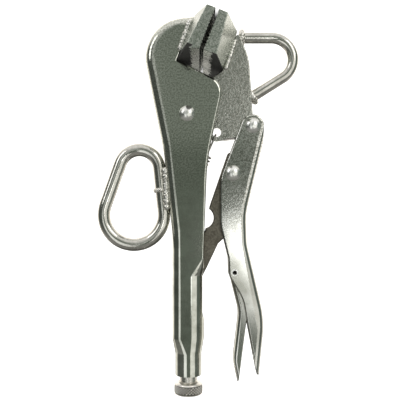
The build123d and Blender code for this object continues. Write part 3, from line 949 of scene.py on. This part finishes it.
core_radius = screw_radius - THREAD_DEPTH
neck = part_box("fixed_handle")[0][1] / MM + NECK_RISE
core_profile = [
    (0, high.y), (core_radius - TIP_CHAMFER, high.y), (core_radius, high.y - TIP_CHAMFER),
    (core_radius, neck), (screw_radius, neck - NECK_CHAMFER), (screw_radius, low.y), (0, low.y),
]
core = turned("screw_core", core_profile, CORE_SIDES)
thread_top = high.y - THREAD_START
thread_steps = int((thread_top - neck) / THREAD_PITCH) * THREAD_STEPS
ridge = core_radius + RIDGE_CENTRE
thread_line = []
for i in range(thread_steps + 1):
    turn = 2 * math.pi * i / THREAD_STEPS
    height = thread_top - THREAD_PITCH * i / THREAD_STEPS
    thread_line.append((SCREW_X + ridge * math.cos(turn), height, -ridge * math.sin(turn)))
thread_sizes = {
    "Wire radius": RIDGE_RADIUS * MM, "Sides": THREAD_SIDES, "Finish": finishes["screw_steel"],
}
thread = grown("screw_thread", wire_tree, chain("screw_thread", thread_line), thread_sizes)
takes_place(joined_pieces("screw_shank", thread, core), "adjusting_screw")

# %% [markdown]
# ## Knurled knob
# The knob is a turned ring with a rolled-in diamond knurl: small pyramids in rows, every second
# row shifted by half a pyramid. A bump texture would leave the outline smooth, so the pyramids
# are real. One pyramid is a four-sided cone, and the tree sets it on every point of a grid that
# it wraps round the knob: a point's number gives its row and its place in the row, and from
# these follow its angle and its height.

# %% Knurl tree
def make_knurl_tree():
    sizes = [
        ("Axis", "Vector"), ("Radius", "Float"), ("Columns", "Int"), ("Rows", "Int"),
        ("Row step", "Float"), ("Depth", "Float"), ("Finish", "Material"),
    ]
    tree, given = new_tree("knurl", sizes)
    columns = given["Columns"]
    number = add_node(tree, "GeometryNodeInputIndex").outputs[0]
    row = maths(tree, "FLOOR", maths(tree, "DIVIDE", number, columns))
    stagger = maths(tree, "MULTIPLY", maths(tree, "MODULO", row, 2), 0.5)
    share = maths(tree, "DIVIDE", maths(tree, "ADD", number, stagger), columns)
    angle = maths(tree, "MULTIPLY", share, 2 * math.pi)
    circle = {"X": maths(tree, "COSINE", angle), "Z": maths(tree, "SINE", angle)}
    outward = add_node(tree, "ShaderNodeCombineXYZ", circle).outputs[0]
    stretch = {0: outward, "Scale": given["Radius"]}
    reach = add_node(tree, "ShaderNodeVectorMath", stretch, operation="SCALE").outputs[0]
    fall = maths(tree, "MULTIPLY", maths(tree, "MULTIPLY", row, given["Row step"]), -1)
    drop = add_node(tree, "ShaderNodeCombineXYZ", {"Y": fall}).outputs[0]
    place = vector_maths(tree, "ADD", vector_maths(tree, "ADD", reach, drop), given["Axis"])
    grid = {"Count": maths(tree, "MULTIPLY", columns, given["Rows"]), "Position": place}
    points = add_node(tree, "GeometryNodePoints", grid)

    cone = {"Vertices": 4, "Radius Top": 0, "Radius Bottom": 1, "Depth": given["Depth"]}
    pyramid = add_node(tree, "GeometryNodeMeshCone", cone)
    aim = {"Primary Axis": outward, "Secondary Axis": (0, 1, 0)}
    upright = add_node(tree, "FunctionNodeAxesToRotation", aim, primary_axis="Z", secondary_axis="Y")
    width = maths(tree, "DIVIDE", maths(tree, "MULTIPLY", given["Radius"], math.pi), columns)
    diamond = add_node(tree, "ShaderNodeCombineXYZ", {"X": width, "Y": given["Row step"], "Z": 1})
    knurl = {
        "Points": points.outputs[0], "Instance": pyramid.outputs["Mesh"],
        "Rotation": upright.outputs[0], "Scale": diamond.outputs[0],
    }
    finish_tree(tree, given, add_node(tree, "GeometryNodeInstanceOnPoints", knurl).outputs[0])
    return tree


knurl_tree = make_knurl_tree()
print("tree:", knurl_tree.name, "with", len(knurl_tree.nodes), "nodes")

# %% [markdown]
# The ring under the knurl is turned from a profile with rounded shoulders, given as steps in
# from the knob's radius and away from its ends. The knurl and the ring are joined, because they
# are one piece of steel.

# %% Knurled knob
KNURL_COLUMNS = 26
KNURL_ROWS = 5
KNURL_DEPTH = 0.8
TOP_SHOULDER = 2.0
LOW_SHOULDER = 1.1
TOP_ROUND = ((3.2, 0), (1.9, 0.35), (0.9, 1.0), (0.3, 1.8))
LOW_ROUND = ((0.2, 0.9), (0.8, 0.35), (2.2, 0))
KNOB_DISH = 0.2
VALLEY_INSET = 0.2
KNOB_SIDES = 68

low, high = [Vector(point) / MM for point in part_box("adjusting_knob")]
knob_radius = (high.x - low.x) / 2
valley = knob_radius - KNURL_DEPTH
band_low = low.y + LOW_SHOULDER
band_high = high.y - TOP_SHOULDER
row_step = (band_high - band_low) / (KNURL_ROWS + 1)
knob_profile = [
    (screw_radius, high.y - KNOB_DISH),
    *((knob_radius - inward, high.y - down) for inward, down in TOP_ROUND),
    (valley, band_high - VALLEY_INSET),
    (valley, band_low + VALLEY_INSET),
    *((knob_radius - inward, low.y + up) for inward, up in LOW_ROUND),
    (screw_radius, low.y + KNOB_DISH),
]
knob_core = turned("knob_core", knob_profile, KNOB_SIDES)
knurl_sizes = {
    "Axis": (SCREW_X * MM, (band_high - row_step) * MM, 0), "Radius": valley * MM,
    "Columns": KNURL_COLUMNS, "Rows": KNURL_ROWS, "Row step": row_step * MM,
    "Depth": KNURL_DEPTH * MM, "Finish": finishes["knurled_steel"],
}
knurl = grown("knob_knurl", knurl_tree, bpy.data.meshes.new("knob_knurl"), knurl_sizes)
knurl.data.shade_flat()
takes_place(joined_pieces("knurled_knob", knurl, knob_core), "adjusting_knob")

# %% [markdown]
# ## Painted shade in the knurl
# The valleys between the diamonds lie in shade, and that contrast makes the knurl readable
# from afar, so shade is painted into them. A painted mask would need a UV map. Here the finish
# is darkened where it lies deep, measured from the screw's axis, and only inside the knurled
# band, so the turned shoulders stay bright.

# %% Painted shade in the knurl
VALLEY_SHADE_DEPTH = 0.6 * KNURL_DEPTH
VALLEY_SHADE_BORDER = 0.3
# the colour of the painted shade in the knurl's valleys
VALLEY_PAINTED_SHADE = (0.08, 0.08, 0.07, 1)


def painted_valley_shade(material, radius, low, high):
    """Paints shade into the knob's valleys, near the radius and between low and high."""
    tree = material.node_tree
    middle = (SCREW_X * MM, (low + high) / 2 * MM, 0)
    half = (high - low) / 2
    place = add_node(tree, "ShaderNodeTexCoord").outputs["Object"]
    from_middle = vector_maths(tree, "SUBTRACT", place, middle)
    out = vector_maths(tree, "LENGTH", vector_maths(tree, "MULTIPLY", from_middle, (1, 0, 1)))
    along = vector_maths(tree, "LENGTH", vector_maths(tree, "MULTIPLY", from_middle, (0, 1, 0)))
    deep = ramp(tree, out, radius * MM, (radius + VALLEY_SHADE_DEPTH) * MM, low=1.0, high=0.0)
    inside = ramp(tree, along, half * MM, (half + VALLEY_SHADE_BORDER) * MM, low=1.0, high=0.0)
    darkened(material, maths(tree, "MINIMUM", deep, inside), VALLEY_PAINTED_SHADE)


# painted shade in the knurl's valleys
painted_valley_shade(finishes["knurled_steel"], valley, band_low, band_high)
print("painted_shade up to", round(VALLEY_SHADE_DEPTH, 2), "mm over the knurl's valleys")
